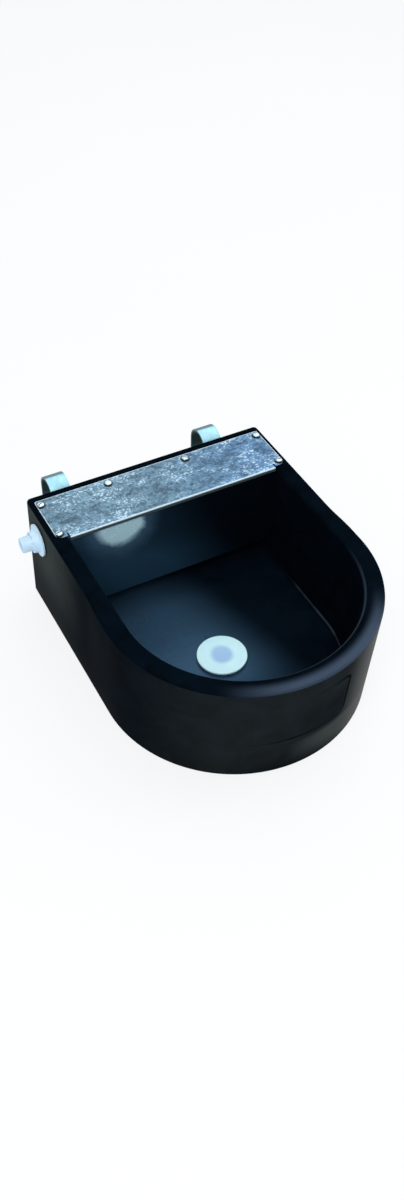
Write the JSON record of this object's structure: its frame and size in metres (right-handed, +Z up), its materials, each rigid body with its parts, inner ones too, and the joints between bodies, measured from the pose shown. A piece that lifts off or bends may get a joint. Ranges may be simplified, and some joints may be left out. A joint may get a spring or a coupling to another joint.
{
  "type": "automatic horse waterer",
  "caption": "D-shaped black plastic drinking bowl with a covered float chamber, side water inlet, drain bung and hooks that hang it over a rail.",
  "frame": {"origin": "on the base plane, on the bowl's mid plane, straight below the rim's back edge", "axes": "+Z up; -Y towards the round front of the bowl; +Y towards the hooks; -X towards the water inlet"},
  "size_m": [0.3821, 0.4966, 0.174],
  "materials": {
    "black_plastic": "black moulded polyethylene, satin",
    "zinc_sheet": "galvanised sheet with a faint spangle",
    "zinc_strip": "galvanised strip, dull",
    "bright_zinc": "bright zinc plate",
    "brass": "plain turned brass",
    "white_plastic": "white moulded nylon, satin",
    "rubber": "black sealing rubber",
    "float_plastic": "red-orange blown float"
  },
  "bodies": {
    "bowl": {"arm_pivot_pin": "bright_zinc", "baffle_panel": "black_plastic", "bowl_body": "black_plastic", "cover_plate": "zinc_sheet", "cover_screw_back_1": "bright_zinc", "cover_screw_back_2": "bright_zinc", "cover_screw_back_3": "bright_zinc", "cover_screw_back_4": "bright_zinc", "cover_screw_front_left": "bright_zinc", "cover_screw_front_right": "bright_zinc", "hook_bolt_left_1": "bright_zinc", "hook_bolt_left_2": "bright_zinc", "hook_bolt_right_1": "bright_zinc", "hook_bolt_right_2": "bright_zinc", "hook_nut_left_1": "bright_zinc", "hook_nut_left_2": "bright_zinc", "hook_nut_right_1": "bright_zinc", "hook_nut_right_2": "bright_zinc", "hook_washer_left_1": "bright_zinc", "hook_washer_left_2": "bright_zinc", "hook_washer_right_1": "bright_zinc", "hook_washer_right_2": "bright_zinc", "inlet_flange_nut": "white_plastic", "inlet_inner_seal": "rubber", "inlet_outer_seal": "rubber", "inlet_strainer": "bright_zinc", "nozzle_seal": "rubber", "pivot_pin_clip": "bright_zinc", "rail_hook_left": "zinc_strip", "rail_hook_right": "zinc_strip", "screw_insert_back_1": "brass", "screw_insert_back_2": "brass", "screw_insert_back_3": "brass", "screw_insert_back_4": "brass", "screw_insert_front_left": "brass", "screw_insert_front_right": "brass", "valve_body": "white_plastic", "valve_nozzle": "brass"},
    "float_arm": {"float_lever": "white_plastic", "float_rod": "brass", "float": "float_plastic", "float_stop_nut": "bright_zinc", "float_wing_nut": "bright_zinc", "rod_lock_nut": "bright_zinc"},
    "plunger": {"valve_plunger": "white_plastic", "plunger_seat": "rubber"},
    "bung": {"drain_bung": "white_plastic", "bung_seal": "rubber", "bung_grip_ring": "rubber"}
  },
  "joints": [
    {"name": "float_arm_pivot", "type": "hinge", "parent": "bowl", "child": "float_arm", "pos_m": [-0.08468, -0.044, 0.11821], "axis": [0, -1, 0], "range_deg": [0, 20]},
    {"name": "plunger_slide", "type": "slide", "parent": "bowl", "child": "plunger", "axis": [-1, 0, 0], "range_m": [0, 0.00487]},
    {"name": "drain_bung_lift", "type": "slide", "parent": "bowl", "child": "bung", "axis": [0, 0, 1], "range_m": [0, 0.03]}
  ],
  "couplings": [
    {"joint": "plunger_slide", "follows": "float_arm_pivot", "m_per_rad": 0.013929}
  ]
}
